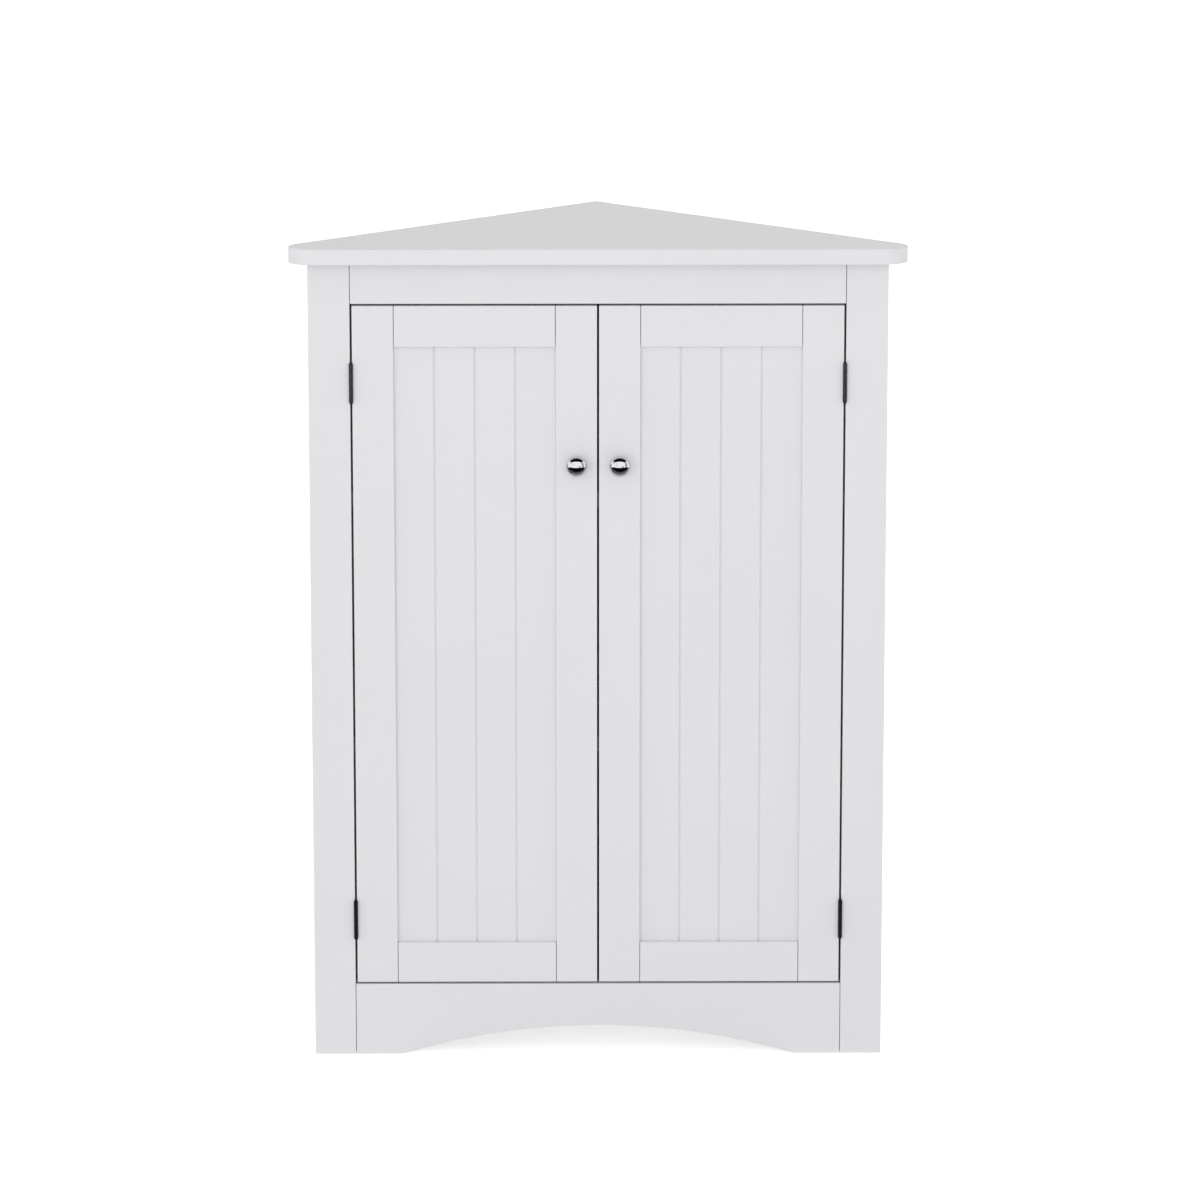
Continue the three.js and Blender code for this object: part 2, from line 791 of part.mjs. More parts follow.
function strikePlate() {
  const shape = roundedRectangle(strikeLength, strikeHeight, strikeCornerRadius);
  const plate = facing(shape, strikeThickness, 0, 0, cornerSteps);
  const hole = rod(strikeHoleRadius, -cutOverrun, strikeThickness + cutOverrun);
  return worked(plate, [], [hole]);
}

// Assembly
const cupboard = new THREE.Group();
cupboard.name = "corner_cupboard";
cupboard.position.y = -topCentreY;

const sides = { left: -1, right: 1 };

cupboard.add(piece("top_panel", topBoard(), whiteLacquer));
cupboard.add(piece("top_rail", topRail(), whiteLacquer));
cupboard.add(piece("bottom_rail", bottomRail(), whiteLacquer));
const floorBoard = lying(floorOutline(), floorThickness, openingBottom - floorThickness, edgeEase);
cupboard.add(piece("floor_panel", floorBoard, whiteLacquer));
for (const { name, underside } of shelves) {
  cupboard.add(piece(name, lying(shelfOutline(), shelfThickness, underside, edgeEase), whiteLacquer));
}

// A mesh keeps its place in the cupboard when it joins a group that has its own origin.
function hang(group, mesh) {
  mesh.position.sub(group.position);
  group.add(mesh);
}

for (const [name, side] of Object.entries(sides)) {
  cupboard.add(piece(`${name}_side_panel`, sideBoard(side), whiteLacquer));
  cupboard.add(piece(`${name}_frame_stile`, frameStile(side), whiteLacquer));

  const ends = ["front", "back"];
  ends.forEach((end, i) => {
    const camMesh = piece(`${name}_${end}_cam`, cam(), zincSteel);
    camMesh.position.copy(onSideBoard(side, camPlaces[i], postHeight - camBelowTop, 0));
    camMesh.rotation.z = -side * eighthTurn;
    cupboard.add(camMesh);

    const bolt = piece(`${name}_${end}_cam_bolt`, camBolt(), zincSteel);
    bolt.position.copy(onSideBoard(side, camPlaces[i], carcassTop, sideThickness / 2));
    bolt.rotation.x = quarterTurn;
    cupboard.add(bolt);

    for (const shelf of shelves) {
      const support = piece(`${shelf.name}_${name}_${end}_support`, shelfSupport(), zincSteel);
      support.position.copy(onSideBoard(side, supportColumns[i], supportHeight(shelf), 0));
      support.rotation.z = -side * eighthTurn;
      cupboard.add(support);
    }
  });

  const door = new THREE.Group();
  door.name = `${name}_door`;
  door.position.set(side * hingeX, hingeY, 0);
  cupboard.add(door);
  hang(door, piece(`${name}_door_hinge_stile`, hingeStile(side), whiteLacquer));
  hang(door, piece(`${name}_door_lock_stile`, lockStile(side), whiteLacquer));
  const bottomDoorRail = doorRail(side, doorBottom, doorBottom + doorRailHeight);
  const topDoorRail = doorRail(side, doorTop, doorTop - doorRailHeight);
  hang(door, piece(`${name}_door_bottom_rail`, bottomDoorRail, whiteLacquer));
  hang(door, piece(`${name}_door_top_rail`, topDoorRail, whiteLacquer));
  hang(door, piece(`${name}_door_panel`, beadPanel(side), whiteLacquer));

  const knobMesh = piece(`${name}_knob`, knob(), chrome);
  knobMesh.position.set(side * lockStileMiddle, 0, knobHeight);
  knobMesh.rotation.z = Math.PI;
  hang(door, knobMesh);
  const screw = piece(`${name}_knob_screw`, knobScrew(), zincSteel);
  screw.position.set(side * lockStileMiddle, doorThickness, knobHeight);
  screw.rotation.z = Math.PI;
  hang(door, screw);

  const strike = piece(`${name}_catch_strike`, strikePlate(), zincSteel);
  strike.position.set(side * lockStileMiddle, doorThickness + jointGap, catchBase + catchHeight / 2);
  hang(door, strike);
  const catchMesh = piece(`${name}_catch`, magneticCatch(), whitePlastic);
  catchMesh.position.set(side * lockStileMiddle, catchFront + catchDepth / 2, catchBase);
  cupboard.add(catchMesh);

  for (const [level, centre] of Object.entries(hingeCentres)) {
    const place = new THREE.Vector3(side * hingeX, hingeY, centre - hingeLength / 2);
    const frameLeaf = piece(`${name}_${level}_hinge_frame_leaf`, hingeLeaf(side, 1), blackSteel);
    frameLeaf.position.copy(place);
    cupboard.add(frameLeaf);
    const pin = piece(`${name}_${level}_hinge_pin`, hingePin(), blackSteel);
    pin.position.copy(place);
    cupboard.add(pin);
    const doorLeaf = piece(`${name}_${level}_hinge_door_leaf`, hingeLeaf(side, -1), blackSteel);
    doorLeaf.position.copy(place);
    hang(door, doorLeaf);
  }
}

export default cupboard;
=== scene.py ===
import json
import math

import bpy
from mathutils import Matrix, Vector


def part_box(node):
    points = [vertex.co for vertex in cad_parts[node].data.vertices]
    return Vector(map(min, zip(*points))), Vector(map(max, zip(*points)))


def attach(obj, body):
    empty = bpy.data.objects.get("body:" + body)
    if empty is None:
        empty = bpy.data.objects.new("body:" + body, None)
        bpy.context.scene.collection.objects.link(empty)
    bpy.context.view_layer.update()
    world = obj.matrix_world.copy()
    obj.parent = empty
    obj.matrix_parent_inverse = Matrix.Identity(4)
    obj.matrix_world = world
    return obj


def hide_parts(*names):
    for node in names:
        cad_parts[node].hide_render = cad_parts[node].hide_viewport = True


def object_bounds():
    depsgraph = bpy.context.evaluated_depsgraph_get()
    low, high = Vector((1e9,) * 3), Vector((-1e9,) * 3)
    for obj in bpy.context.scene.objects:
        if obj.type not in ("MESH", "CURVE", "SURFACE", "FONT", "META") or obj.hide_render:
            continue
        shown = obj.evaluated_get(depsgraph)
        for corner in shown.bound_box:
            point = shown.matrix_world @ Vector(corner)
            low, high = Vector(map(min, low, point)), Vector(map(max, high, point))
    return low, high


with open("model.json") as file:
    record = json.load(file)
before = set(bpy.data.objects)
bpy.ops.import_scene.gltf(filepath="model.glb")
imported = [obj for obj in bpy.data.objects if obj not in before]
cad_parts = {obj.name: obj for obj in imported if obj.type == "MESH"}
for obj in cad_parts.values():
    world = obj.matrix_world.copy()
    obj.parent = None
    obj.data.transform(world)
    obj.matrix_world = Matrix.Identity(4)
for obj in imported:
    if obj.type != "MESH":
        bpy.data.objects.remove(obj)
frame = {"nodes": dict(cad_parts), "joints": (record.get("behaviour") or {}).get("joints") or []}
nodes = frame["nodes"]
cad_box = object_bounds()
sides = {"left": -1, "right": 1}

# The photographer's camera
# A long lens on a tripod a good five metres away, a little to the left of the middle and twice
# as high as the cupboard, tipped down until the cupboard is in the middle of the square frame.
sensor_width = 36
lens_length = 168.07
camera_place = (-0.03538, -5.41999, 1.59020)
camera_tip_down = math.radians(12.130)
camera_turn_right = math.radians(0.404)
camera_data = bpy.data.cameras.new("camera")
camera_data.sensor_width = sensor_width
camera_data.lens = lens_length
camera = bpy.data.objects.new("camera", camera_data)
camera.location = camera_place
camera.rotation_euler = (math.radians(90) - camera_tip_down, 0, -camera_turn_right)
bpy.context.scene.collection.objects.link(camera)
bpy.context.scene.camera = camera
bpy.context.scene.view_settings.view_transform = "Standard"

# The studio
# A seamless white floor that runs far back, and a white room. A broad soft box in front and a
# small one on either side light the cupboard. Its chrome sees cards of all tones, not the lamps.


class Value:
    """A number in a finish that changes over the surface: sums and products add Math nodes."""

    def __init__(self, finish, socket):
        self.finish = finish
        self.socket = socket

    def __add__(self, other):
        return self.finish.add("ShaderNodeMath", {"operation": "ADD"}, {0: self, 1: other})

    def __mul__(self, other):
        return self.finish.add("ShaderNodeMath", {"operation": "MULTIPLY"}, {0: self, 1: other})

    def __rsub__(self, other):
        return self.finish.add("ShaderNodeMath", {"operation": "SUBTRACT"}, {0: other, 1: self})

    __radd__ = __add__
    __rmul__ = __mul__


class Finish:
    """The nodes of one material, or of the world. A finish is told where it is by Object coordinates."""

    def __init__(self, owner):
        owner.use_nodes = True
        self.owner = owner
        self.tree = owner.node_tree
        self.tree.nodes.clear()

    def add(self, kind, settings=None, inputs=None, output=0):
        node = self.tree.nodes.new(kind)
        for name, setting in (settings or {}).items():
            setattr(node, name, setting)
        for name, value in (inputs or {}).items():
            if isinstance(value, Value):
                self.tree.links.new(value.socket, node.inputs[name])
            else:
                node.inputs[name].default_value = value
        return Value(self, node.outputs[output]) if node.outputs else None

    def noise(self, size, detail=2.0, stretch=(1, 1, 1)):
        """Cloudy noise between 0 and 1 whose patches are about size metres across."""
        place = self.add("ShaderNodeTexCoord", output="Object")
        place = self.add("ShaderNodeMapping", inputs={"Vector": place, "Scale": stretch})
        inputs = {"Vector": place, "Scale": 1 / size, "Detail": detail}
        return self.add("ShaderNodeTexNoise", inputs=inputs)

    def blend(self, share, first, second):
        """The first colour where share is 0, and the second where it is 1."""
        return self.add("ShaderNodeMix", {"data_type": "RGBA"}, {0: share, 6: first, 7: second}, 2)

    def relief(self, height, depth):
        """Bumps that stand up to depth metres proud where height is 1."""
        return self.add("ShaderNodeBump", inputs={"Height": height, "Distance": depth})

    def surface(self, **sockets):
        inputs = {name.replace("_", " "): value for name, value in sockets.items()}
        shader = self.add("ShaderNodeBsdfPrincipled", inputs=inputs)
        self.add("ShaderNodeOutputMaterial", inputs={"Surface": shader})
        return self.owner


def finish(name):
    return Finish(bpy.data.materials.new(name))


def shade(red, green, blue):
    """A colour as it looks on screen, from 0 to 255, as the shader's own numbers."""
    parts = [part / 255 for part in (red, green, blue)]
    linear = [p / 12.92 if p <= 0.04045 else ((p + 0.055) / 1.055) ** 2.4 for p in parts]
    return (*linear, 1)


def seen_directly(of):
    """1 where the camera looks, also by way of metal or glass, and 0 for light that is scattered."""
    paths = [of.add("ShaderNodeLightPath", output=name) for name in (
        "Is Camera Ray",
        "Is Glossy Ray",
        "Is Transmission Ray",
    )]
    return of.add("ShaderNodeMath", {"operation": "ADD", "use_clamp": True}, {
        0: paths[0] + paths[1],
        1: paths[2],
    })


floor_extent = 60
floor_below = 0.0002
floor_tone = shade(242, 242, 243)
floor_lift = 0.7
bpy.ops.object.select_all(action="DESELECT")
bpy.ops.mesh.primitive_plane_add(size=floor_extent, location=(0, 0, -floor_below))
floor = bpy.context.object
floor.name = "studio_floor"
paper = finish("seamless_paper")
matt = paper.add("ShaderNodeBsdfDiffuse", inputs={"Color": floor_tone})
glow = paper.add("ShaderNodeEmission", inputs={"Strength": seen_directly(paper) * floor_lift})
both = paper.add("ShaderNodeAddShader", inputs={0: matt, 1: glow})
paper.add("ShaderNodeOutputMaterial", inputs={"Surface": both})
floor.data.materials.append(paper.owner)

room_light = 0.69
room = Finish(bpy.data.worlds.new("white_room"))
bpy.context.scene.world = room.owner
direct = seen_directly(room)
level = direct + (1 - direct) * room_light
white_room = room.add("ShaderNodeBackground", inputs={"Color": (1, 1, 1, 1), "Strength": level})
room.add("ShaderNodeOutputWorld", inputs={"Surface": white_room})

middle_height = (cad_box[0][2] + cad_box[1][2]) / 2


def soft_box(name, size, power, place):
    """A broad lamp that looks at the middle of the cupboard."""
    lamp = bpy.data.lights.new(name, "AREA")
    lamp.shape = "RECTANGLE"
    lamp.size, lamp.size_y = size
    lamp.energy = power
    box = bpy.data.objects.new(name, lamp)
    box.location = place
    aim = Vector((0, 0, middle_height)) - Vector(place)
    box.rotation_euler = aim.to_track_quat("-Z", "Y").to_euler()
    box.visible_camera = False
    box.visible_glossy = False
    bpy.context.scene.collection.objects.link(box)


side_box_size = (2, 1.6)
soft_box("front_soft_box", size=(5, 3), power=81, place=(-0.8, -5.2, 1.5))
soft_box("left_soft_box", size=side_box_size, power=9, place=(-4.4, -0.6, 1.2))
soft_box("right_soft_box", size=side_box_size, power=10, place=(4.4, -0.6, 1.2))

card_reach = 3


def card(name, size, place, turn, tones):
    """A card that only shiny things see, with its tones from one end of its height to the other."""
    bpy.ops.object.select_all(action="DESELECT")
    bpy.ops.mesh.primitive_plane_add(size=1)
    sheet = bpy.context.object
    sheet.name = name
    sheet.scale = (*size, 1)
    bpy.ops.object.transform_apply(location=True, rotation=True, scale=True)
    sheet.location = place
    sheet.rotation_euler = [math.radians(angle) for angle in turn]
    board = finish(name)
    place_on_card = board.add("ShaderNodeTexCoord", output="Object")
    height = board.add("ShaderNodeSeparateXYZ", inputs={"Vector": place_on_card}, output="Y")
    share = board.add(
        "ShaderNodeMapRange",
        inputs={"Value": height, "From Min": -size[1] / 2, "From Max": size[1] / 2},
    )
    dim = board.add("ShaderNodeEmission", inputs={"Color": board.blend(share, *tones)})
    board.add("ShaderNodeOutputMaterial", inputs={"Surface": dim})
    sheet.data.materials.append(board.owner)
    sheet.visible_camera = False
    sheet.visible_diffuse = False
    sheet.visible_shadow = False
    sheet.visible_transmission = False


def level_card(name, back, front, height, tones, left=-card_reach, right=card_reach):
    """A card that lies level, from its back edge to its front edge."""
    size = (right - left, back - front)
    place = ((left + right) / 2, (back + front) / 2, height)
    card(name, size, place, (0, 0, 0), tones)


def standing_card(name, width, low, high, bearing, tone):
    """An upright card that is bearing degrees to the right of straight ahead of the cupboard."""
    angle = math.radians(bearing)
    place = (card_reach * math.sin(angle), -card_reach * math.cos(angle), (low + high) / 2)
    card(name, (width, high - low), place, (90, 0, bearing), (tone, tone))


black = shade(8, 8, 9)
charcoal = shade(78, 80, 84)
slate = shade(143, 145, 152)
dusk = shade(112, 114, 120)
pale_grey = shade(198, 199, 202)
off_white = shade(236, 236, 238)
grey = shade(170, 171, 175)
bright = shade(243, 243, 245)
overhead = 2.6
on_the_floor = 0.002
on_a_card = 0.003
ceiling_back = 0.1
ceiling_bend = -1.0
ceiling_front = -3.05
floor_back = -0.142
floor_bend = -0.85
floor_front = -2.75
wing_back = 0.5
left_wing_edge = -0.4
right_wing_edge = 0.33
far_reach = 14
level_card("ceiling_card", ceiling_bend, ceiling_front, overhead, (black, black))
level_card("ceiling_edge_card", ceiling_back, ceiling_bend, overhead, (black, slate))
level_card(
    "far_floor_card",
    floor_front,
    -far_reach,
    on_the_floor,
    (bright, bright),
    left=-far_reach,
    right=far_reach,
)
level_card("floor_card", floor_bend, floor_front, on_the_floor, (black, black))
level_card("floor_edge_card", floor_back, floor_bend, on_the_floor, (black, slate))
level_card(
    "left_wing_card",
    wing_back,
    floor_bend,
    on_a_card,
    (charcoal, charcoal),
    right=left_wing_edge,
)
level_card(
    "right_wing_card",
    wing_back,
    floor_back,
    on_the_floor,
    (dusk, dusk),
    left=right_wing_edge,
)
standing_card("right_card", width=1.4, low=0, high=2.0, bearing=52, tone=grey)
standing_card("left_card", width=0.9, low=1.35, high=2.2, bearing=-52, tone=pale_grey)
standing_card("left_front_card", width=0.8, low=0.7, high=1.6, bearing=-22, tone=off_white)
standing_card("left_edge_card", width=0.9, low=0, high=1.0, bearing=-84, tone=charcoal)
standing_card("low_card", width=0.4, low=0, high=0.5, bearing=20, tone=black)

# The white lacquer, and the boards that keep their sawn shape
# Two side boards that meet at the back corner, the floor that is housed in them and two loose
# shelves are flat fibreboard, sprayed with satin white lacquer that dries with a faint peel.
lacquer_white = shade(233, 233, 235)
lacquer_thin = shade(228, 228, 230)
mottle_size = 0.19
peel_size = 0.0016
swell_size = 0.022
peel_share = 0.6
swell_share = 0.4
peel_depth = 0.00002
lacquer_roughness = 0.4
lacquer_unevenness = 0.08
lacquer = finish("satin_white_lacquer")
mottle = lacquer.noise(mottle_size)
peel = lacquer.noise(peel_size, detail=1.0)
swell = lacquer.noise(swell_size)
white_lacquer = lacquer.surface(
    Base_Color=lacquer.blend(mottle, lacquer_white, lacquer_thin),
    Roughness=lacquer_roughness + swell * lacquer_unevenness,
    Normal=lacquer.relief(peel * peel_share + swell * swell_share, peel_depth),
)


def recoat(name, material):
    """A CAD solid whose shape is right keeps it, and gets the real finish."""
    for place in nodes[name].material_slots:
        place.material = material


sawn_boards = ["left_side_panel", "right_side_panel", "floor_panel", "lower_shelf", "upper_shelf"]
for name in sawn_boards:
    recoat(name, white_lacquer)

# The face frame
# Two stiles and two rails of lacquered wood, tenoned together and pinned to the front edges of
# the side boards. The bottom rail is cut to a shallow arch, and all edges are eased with paper.
joint_gap = 0.0003
shoulder_gap = 0.0005
frame_ease = 0.0005
overrun = 0.002
arch_rise = 0.0289
arch_foot = 0.04575
arch_sides = 360
leaf_thickness = 0.001
leaves_apart = 0.0004
hinge_axes = {joint["child"]: Vector(joint["pos_m"]) for joint in frame["joints"]}


def use(piece):
    """Selects one piece and nothing else."""
    bpy.ops.object.select_all(action="DESELECT")
    piece.select_set(True)
    bpy.context.view_layer.objects.active = piece


def titled(name):
    piece = bpy.context.object
    piece.name = name
    piece.data.name = name
    return piece


def settle(piece, place=(0, 0, 0), turn=(0, 0, 0)):
    """Puts a piece where it belongs, with the place in its mesh."""
    use(piece)
    piece.location = place
    piece.rotation_euler = turn
    bpy.ops.object.transform_apply(location=True, rotation=True, scale=True)
    return piece


def block(name, low, high):
    """Square-edged stock between two corners."""
    low, high = Vector(low), Vector(high)
    bpy.ops.object.select_all(action="DESELECT")
    bpy.ops.mesh.primitive_cube_add(size=1)
    piece = titled(name)
    piece.scale = high - low
    return settle(piece, (low + high) / 2)


def apply_modifier(piece, kind, **settings):
    modifier = piece.modifiers.new("shaping", kind)
    for name, setting in settings.items():
        setattr(modifier, name, setting)
    use(piece)
    bpy.ops.object.modifier_apply(modifier=modifier.name)


def cut(piece, tool):
    """Takes the tool's shape out of the piece."""
    apply_modifier(piece, "BOOLEAN", operation="DIFFERENCE", solver="EXACT", object=tool)
    bpy.data.objects.remove(tool)


def join(piece, other):
    """Makes one body of the piece and the other."""
    apply_modifier(piece, "BOOLEAN", operation="UNION", solver="EXACT", object=other)
    bpy.data.objects.remove(other)


def ease(piece, radius, sharper_than=40, steps=3):
    """Rounds every edge that turns by more than the given degrees."""
    apply_modifier(
        piece,
        "BEVEL",
        width=radius,
        segments=steps,
        limit_method="ANGLE",
        angle_limit=math.radians(sharper_than),
    )


def smooth(piece, sharper_than=35):
    """Smooth shading over rounded edges, while broad faces stay flat."""
    use(piece)
    bpy.ops.object.shade_smooth_by_angle(angle=math.radians(sharper_than))
    apply_modifier(piece, "WEIGHTED_NORMAL", keep_sharp=True)


def fit(piece, material, slot, body, *stands_for):
    """The piece gets its finish and its body, and stands for the CAD solids that it replaces."""
    piece.data.materials.clear()
    piece.data.materials.append(material)
    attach(piece, body)
    if stands_for:
        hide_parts(*stands_for)


def grown(box, amount):
    spread = Vector((amount, amount, amount))
    return box[0] - spread, box[1] + spread


def leaf_seat(leaf, door, towards):
    """A tool for the shallow seat of a hinge leaf, which is let into an edge towards -x or +x."""
    low, high = grown(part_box(leaf), joint_gap)
    axis = hinge_axes[door].x
    deep = axis + towards * (leaves_apart / 2 + leaf_thickness + joint_gap)
    edges = sorted((deep, axis - towards * overrun))
    return block("seat_tool", (edges[0], low.y, low.z), (edges[1], high.y, high.z))


def frame_stile(name, side):
    stile = block(f"{name}_stile_board", *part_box(f"{name}_frame_stile"))
    ease(stile, frame_ease)
    for level in ("upper", "lower"):
        cut(stile, leaf_seat(f"{name}_{level}_hinge_frame_leaf", f"{name}_door", side))
    smooth(stile)
    fit(stile, white_lacquer, "white_lacquer", "carcass", f"{name}_frame_stile")


for name, side in sides.items():
    frame_stile(name, side)

rail_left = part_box("left_frame_stile")[1].x + shoulder_gap
rail_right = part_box("right_frame_stile")[0].x - shoulder_gap


def rail_stock(name, node):
    low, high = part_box(node)
    return block(name, (rail_left, low.y, low.z), (rail_right, high.y, high.z))


top_rail = rail_stock("top_rail_board", "top_rail")
ease(top_rail, frame_ease)
smooth(top_rail)
fit(top_rail, white_lacquer, "white_lacquer", "carcass", "top_rail")

bottom_rail = rail_stock("arched_rail_board", "bottom_rail")
arch_half = rail_right - arch_foot
arch_radius = (arch_half**2 + arch_rise**2) / (2 * arch_rise)
rail_low, rail_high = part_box("bottom_rail")
bpy.ops.object.select_all(action="DESELECT")
bpy.ops.mesh.primitive_cylinder_add(
    vertices=arch_sides,
    radius=arch_radius,
    depth=rail_high.y - rail_low.y + 2 * overrun,
)
arch_tool = titled("arch_tool")
arch_centre = (0, (rail_low.y + rail_high.y) / 2, arch_rise - arch_radius)
settle(arch_tool, arch_centre, (math.radians(90), 0, 0))
cut(bottom_rail, arch_tool)
ease(bottom_rail, frame_ease)
smooth(bottom_rail)
fit(bottom_rail, white_lacquer, "white_lacquer", "carcass", "bottom_rail")

# The top
# One triangular board that overhangs the face frame and follows the two walls. Its front corners
# are broad quarter rounds and more, and its edges are lightly rounded before the lacquer.
corner_radius = 0.0236
corner_sides = 128
top_ease = 0.0006
flat_within = math.radians(0.5)
top_low, top_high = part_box("top_panel")
corner_x = top_high.x - corner_radius
rear_tip = 0.001
bpy.ops.object.select_all(action="DESELECT")
bpy.ops.mesh.primitive_cylinder_add(
    vertices=corner_sides,
    radius=corner_radius,
    depth=top_high.z - top_low.z,
    location=(-corner_x, top_low.y + corner_radius, (top_low.z + top_high.z) / 2),
)
top_board = titled("top_board")
bpy.ops.object.transform_apply(location=True, rotation=True, scale=True)
bpy.ops.object.mode_set(mode="EDIT")
bpy.ops.mesh.primitive_cylinder_add(
    vertices=corner_sides,
    radius=corner_radius,
    depth=top_high.z - top_low.z,
    location=(corner_x, top_low.y + corner_radius, (top_low.z + top_high.z) / 2),
)
bpy.ops.mesh.primitive_cylinder_add(
    vertices=4,
    radius=rear_tip,
    depth=top_high.z - top_low.z,
    location=(0, top_high.y - rear_tip, (top_low.z + top_high.z) / 2),
)
bpy.ops.mesh.select_all(action="SELECT")
bpy.ops.mesh.convex_hull()
bpy.ops.mesh.dissolve_limited(angle_limit=flat_within)
bpy.ops.mesh.normals_make_consistent(inside=False)
bpy.ops.object.mode_set(mode="OBJECT")
ease(top_board, top_ease, steps=4)
smooth(top_board)
fit(top_board, white_lacquer, "white_lacquer", "carcass", "top_panel")

# The cam fittings of the top
# Four zinc discs sit in the inner faces of the side boards, near the top. Each turns on the head
# of a bolt and draws the top down. A cross slot in the face takes the screwdriver.
zinc_bright = shade(196, 199, 204)
zinc_dull = shade(158, 162, 168)
spangle_size = 0.0021
grain_size = 0.0004
grain_stretch = (1, 1, 6)
grain_depth = 0.000004
zinc_roughness = 0.28
grain_roughness = 0.2
zinc = finish("zinc_plated_steel")
spangle = zinc.noise(spangle_size)
grain = zinc.noise(grain_size, stretch=grain_stretch)
zinc_steel = zinc.surface(
    Base_Color=zinc.blend(spangle, zinc_bright, zinc_dull),
    Metallic=1.0,
    Roughness=zinc_roughness + grain * grain_roughness,
    Normal=zinc.relief(grain, grain_depth),
)
turned_sides = 48
same_point = 0.000001
cam_radius = 0.0075
cam_rim = 0.0011
cam_dish = 0.0003
cam_ease = 0.0004
slot_half_width = 0.0007
slot_half_length = 0.004
slot_depth = 0.002


def turned(name, profile, round_sides=turned_sides):
    """A turned piece about z: a disc is drawn up through pairs of radius and height."""
    radius, height = profile[0]
    bpy.ops.object.select_all(action="DESELECT")
    bpy.ops.mesh.primitive_circle_add(
        vertices=round_sides,
        radius=radius,
        fill_type="NGON",
        location=(0, 0, height),
    )
    piece = titled(name)
    bpy.ops.object.transform_apply(location=True, rotation=True, scale=True)
    bpy.ops.object.mode_set(mode="EDIT")
    for next_radius, next_height in profile[1:]:
        rise = (0, 0, next_height - height)
        bpy.ops.mesh.extrude_region_move(TRANSFORM_OT_translate={"value": rise})
        scale = next_radius / radius
        bpy.ops.transform.resize(value=(scale, scale, 1), center_override=(0, 0, next_height))
        radius, height = next_radius, next_height
    bpy.ops.mesh.select_all(action="SELECT")
    bpy.ops.mesh.remove_doubles(threshold=same_point)
    bpy.ops.mesh.normals_make_consistent(inside=False)
    bpy.ops.object.mode_set(mode="OBJECT")
    return piece


def facing(towards):
    """The turn that points a turned piece's own z axis along a direction, with its y axis up."""
    return Vector(towards).normalized().to_track_quat("Z", "Y").to_euler()


def cross_slot(piece, half_width, half_length, depth):
    """Cuts a screwdriver's cross into the face at z = 0, which looks down."""
    for length, width in ((half_length, half_width), (half_width, half_length)):
        cut(piece, block("slot_tool", (-length, -width, -overrun), (length, width, depth)))


for name, side in sides.items():
    for end in ("front", "back"):
        node = f"{name}_{end}_cam"
        low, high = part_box(node)
        middle = (low + high) / 2
        cam_depth = (high.x - low.x) * math.sqrt(2) - 2 * cam_radius
        disc = turned(f"{node}_disc", [
            (cam_radius - cam_rim - cam_dish, cam_dish),
            (cam_radius - cam_rim, 0),
            (cam_radius - cam_ease, 0),
            (cam_radius, cam_ease),
            (cam_radius, cam_depth),
        ])
        cross_slot(disc, slot_half_width, slot_half_length, slot_depth)
        smooth(disc)
        face = middle - Vector((side, 1, 0)).normalized() * cam_depth / 2
        settle(disc, face, facing((side, 1, 0)))
        fit(disc, zinc_steel, "zinc_steel", "carcass", node)
        recoat(f"{node}_bolt", zinc_steel)

# The shelf supports
# Eight pressed steel pins with a collar and a flat pad. They push into the drilled rows of the
# side boards, and the shelves lie loose on their pads.
support_radius = 0.0025
collar_radius = 0.0036
collar_thickness = 0.0012
support_reach = 0.009
support_in_hole = 0.008
pad_half_width = 0.004
pad_thickness = 0.0016
pin_ease = 0.0005
pin_sides = 24


def shelf_support(node, side):
    low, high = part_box(node)
    pin = turned(f"{node}_pin", [
        (support_radius - pin_ease, -support_reach),
        (support_radius, pin_ease - support_reach),
        (support_radius, -collar_thickness),
        (collar_radius - pin_ease, -collar_thickness),
        (collar_radius, pin_ease - collar_thickness),
        (collar_radius, -joint_gap),
        (support_radius, -joint_gap),
        (support_radius, support_in_hole - pin_ease),
        (support_radius - pin_ease, support_in_hole),
    ], pin_sides)
    pad = block(
        "pad",
        (-pad_half_width, support_radius - pad_thickness, -support_reach),
        (pad_half_width, support_radius, -collar_thickness),
    )
    ease(pad, pin_ease)
    join(pin, pad)
    smooth(pin)
    reach = (support_reach + pad_half_width) / math.sqrt(2)
    corner = low.x if side > 0 else high.x
    mouth = (corner + side * reach, low.y + reach, high.z - collar_radius)
    settle(pin, mouth, facing((side, 1, 0)))
    fit(pin, zinc_steel, "zinc_steel", "carcass", node)


for shelf in ("lower_shelf", "upper_shelf"):
    for name, side in sides.items():
        for end in ("front", "back"):
            shelf_support(f"{shelf}_{name}_{end}_support", side)

# The doors
# Each door is a frame of two stiles and two rails with a groove all round, and a beadboard panel
# held loose in it. The panel is one board with V grooves, and keeps the shape of the CAD solid.


def door_member(name, part, low, high):
    """Eased stock with the groove for the panel, and the panel's own clearance in it."""
    member = block(f"{name}_door_{part}_board", low, high)
    ease(member, frame_ease)
    cut(member, block("groove_tool", *grown(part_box(f"{name}_door_panel"), joint_gap)))
    return member


def finish_member(name, part, member):
    smooth(member)
    fit(member, white_lacquer, "white_lacquer", f"{name}_door", f"{name}_door_{part}")


